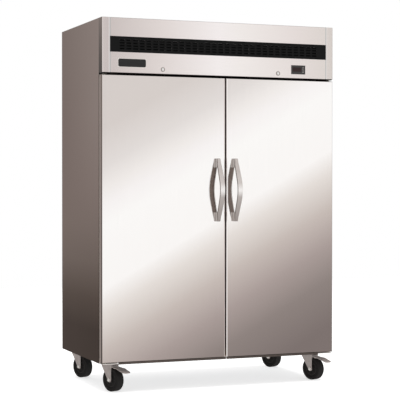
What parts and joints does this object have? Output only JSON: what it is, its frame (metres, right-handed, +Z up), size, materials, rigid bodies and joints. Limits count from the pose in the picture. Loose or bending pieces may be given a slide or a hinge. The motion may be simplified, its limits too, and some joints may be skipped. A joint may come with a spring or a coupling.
{
  "type": "reach-in refrigerator",
  "caption": "Two-door upright reach-in refrigerator with bow handles, a header with a black intake band and digital controller, and braked swivel casters",
  "frame": {"origin": "On the floor under the middle of the whole object's box: midway between the sides, and midway between the handles' fronts and the back panel.", "axes": "+X to the right as seen from the front, +Y to the back (the doors face -Y), +Z up."},
  "size_m": [1.37, 0.863, 2.01],
  "materials": {
    "dark_panel": "satin",
    "galvanised": "satin",
    "stainless": "satin",
    "liner_aluminium": "satin",
    "foam": "matte",
    "black_plastic": "satin",
    "white_plastic": "satin",
    "display_glass": "gloss",
    "chrome_part": "gloss",
    "gasket_rubber": "matte",
    "bush_plastic": "satin",
    "coated_wire": "satin",
    "fin_aluminium": "satin",
    "fan_black": "satin",
    "black_enamel": "gloss",
    "copper": "satin",
    "zinc": "satin",
    "wheel_rubber": "matte",
    "lamp_cover": "satin",
    "grey_box": "satin"
  },
  "bodies": {
    "cabinet": {"left_side_panel": "dark_panel", "right_side_panel": "dark_panel", "back_panel": "galvanised", "base_pan": "galvanised", "top_deck": "galvanised", "insulation": "foam", "cabinet_liner": "liner_aluminium", "front_frame": "stainless", "header_panel": "stainless", "header_end_caps": "dark_panel", "intake_band": "black_plastic", "controller_housing": "black_plastic", "controller_display": "display_glass", "lock_housings": "chrome_part", "hinge_brackets": "zinc", "shelf_strips": "stainless", "shelf_clips": "zinc", "left_shelves": "coated_wire", "right_shelves": "coated_wire", "evaporator_housing": "liner_aluminium", "evaporator_coil": "fin_aluminium", "fan_guards": "fan_black", "interior_lamps": "lamp_cover", "compressor": "black_enamel", "condenser_coil": "fin_aluminium", "condenser_shroud": "galvanised", "condenser_motor": "grey_box", "refrigerant_lines": "copper", "electrical_box": "grey_box", "caster_plates": "zinc"},
    "set_button": {"set_button": "white_plastic"},
    "up_button": {"up_button": "white_plastic"},
    "down_button": {"down_button": "white_plastic"},
    "left_lock": {"left_lock_cylinder": "chrome_part"},
    "right_lock": {"right_lock_cylinder": "chrome_part"},
    "left_door": {"left_door_skin": "stainless", "left_door_liner": "stainless", "left_door_foam": "foam", "left_door_gasket": "gasket_rubber", "left_door_bushes": "bush_plastic", "left_door_handle": "chrome_part"},
    "right_door": {"right_door_skin": "stainless", "right_door_liner": "stainless", "right_door_foam": "foam", "right_door_gasket": "gasket_rubber", "right_door_bushes": "bush_plastic", "right_door_handle": "chrome_part"},
    "left_fan": {"left_evaporator_fan": "fan_black"},
    "right_fan": {"right_evaporator_fan": "fan_black"},
    "condenser_rotor": {"condenser_fan": "fin_aluminium"},
    "front_left_caster": {"front_left_fork": "zinc"},
    "front_left_roller": {"front_left_wheel": "wheel_rubber"},
    "front_right_caster": {"front_right_fork": "zinc"},
    "front_right_roller": {"front_right_wheel": "wheel_rubber"},
    "rear_left_caster": {"rear_left_fork": "zinc"},
    "rear_left_roller": {"rear_left_wheel": "wheel_rubber"},
    "rear_right_caster": {"rear_right_fork": "zinc"},
    "rear_right_roller": {"rear_right_wheel": "wheel_rubber"},
    "front_left_brake": {"front_left_pedal": "zinc"},
    "front_right_brake": {"front_right_pedal": "zinc"}
  },
  "joints": [
    {"name": "left_door_hinge", "type": "hinge", "parent": "cabinet", "child": "left_door", "pos_m": [-0.665, -0.3205, 0.16], "axis": [0, 0, -1], "range_deg": [0, 120], "stiffness_Nm_per_rad": 1.5},
    {"name": "right_door_hinge", "type": "hinge", "parent": "cabinet", "child": "right_door", "pos_m": [0.665, -0.3205, 0.16], "axis": [0, 0, 1], "range_deg": [0, 120], "stiffness_Nm_per_rad": 1.5},
    {"name": "left_lock_turn", "type": "hinge", "parent": "cabinet", "child": "left_lock", "pos_m": [-0.342, -0.3485, 1.74], "axis": [0, -1, 0], "range_deg": [0, 90]},
    {"name": "right_lock_turn", "type": "hinge", "parent": "cabinet", "child": "right_lock", "pos_m": [0.342, -0.3485, 1.74], "axis": [0, 1, 0], "range_deg": [0, 90]},
    {"name": "set_button_press", "type": "slide", "parent": "cabinet", "child": "set_button", "axis": [0, 1, 0], "range_m": [0, 0.001], "stiffness_N_per_m": 300},
    {"name": "down_button_press", "type": "slide", "parent": "cabinet", "child": "down_button", "axis": [0, 1, 0], "range_m": [0, 0.001], "stiffness_N_per_m": 300},
    {"name": "up_button_press", "type": "slide", "parent": "cabinet", "child": "up_button", "axis": [0, 1, 0], "range_m": [0, 0.001], "stiffness_N_per_m": 300},
    {"name": "left_fan_spin", "type": "hinge", "parent": "cabinet", "child": "left_fan", "pos_m": [-0.23, 0.0775, 1.571], "axis": [0, 1, 0], "continuous": true},
    {"name": "right_fan_spin", "type": "hinge", "parent": "cabinet", "child": "right_fan", "pos_m": [0.23, 0.0775, 1.571], "axis": [0, 1, 0], "continuous": true},
    {"name": "condenser_fan_spin", "type": "hinge", "parent": "cabinet", "child": "condenser_rotor", "pos_m": [-0.33, -0.1085, 1.843], "axis": [0, 1, 0], "continuous": true},
    {"name": "front_left_swivel", "type": "hinge", "parent": "cabinet", "child": "front_left_caster", "pos_m": [-0.603, -0.2035, 0.15], "axis": [0, 0, 1], "continuous": true},
    {"name": "front_left_roll", "type": "hinge", "parent": "front_left_caster", "child": "front_left_roller", "pos_m": [-0.58876, -0.23873, 0.0635], "axis": [0.9272, 0.3746, 0], "continuous": true},
    {"name": "front_right_swivel", "type": "hinge", "parent": "cabinet", "child": "front_right_caster", "pos_m": [0.603, -0.2035, 0.15], "axis": [0, 0, 1], "continuous": true},
    {"name": "front_right_roll", "type": "hinge", "parent": "front_right_caster", "child": "front_right_roller", "pos_m": [0.61724, -0.23873, 0.0635], "axis": [0.9272, 0.3746, 0], "continuous": true},
    {"name": "rear_left_swivel", "type": "hinge", "parent": "cabinet", "child": "rear_left_caster", "pos_m": [-0.603, 0.3715, 0.15], "axis": [0, 0, 1], "continuous": true},
    {"name": "rear_left_roll", "type": "hinge", "parent": "rear_left_caster", "child": "rear_left_roller", "pos_m": [-0.58876, 0.33627, 0.0635], "axis": [0.9272, 0.3746, 0], "continuous": true},
    {"name": "rear_right_swivel", "type": "hinge", "parent": "cabinet", "child": "rear_right_caster", "pos_m": [0.603, 0.3715, 0.15], "axis": [0, 0, 1], "continuous": true},
    {"name": "rear_right_roll", "type": "hinge", "parent": "rear_right_caster", "child": "rear_right_roller", "pos_m": [0.61724, 0.33627, 0.0635], "axis": [0.9272, 0.3746, 0], "continuous": true},
    {"name": "front_left_pedal_press", "type": "hinge", "parent": "front_left_caster", "child": "front_left_brake", "pos_m": [-0.58577, -0.24615, 0.134], "axis": [0.9272, 0.3746, 0], "range_deg": [0, 5]},
    {"name": "front_right_pedal_press", "type": "hinge", "parent": "front_right_caster", "child": "front_right_brake", "pos_m": [0.62023, -0.24615, 0.134], "axis": [0.9272, 0.3746, 0], "range_deg": [0, 5]}
  ]
}
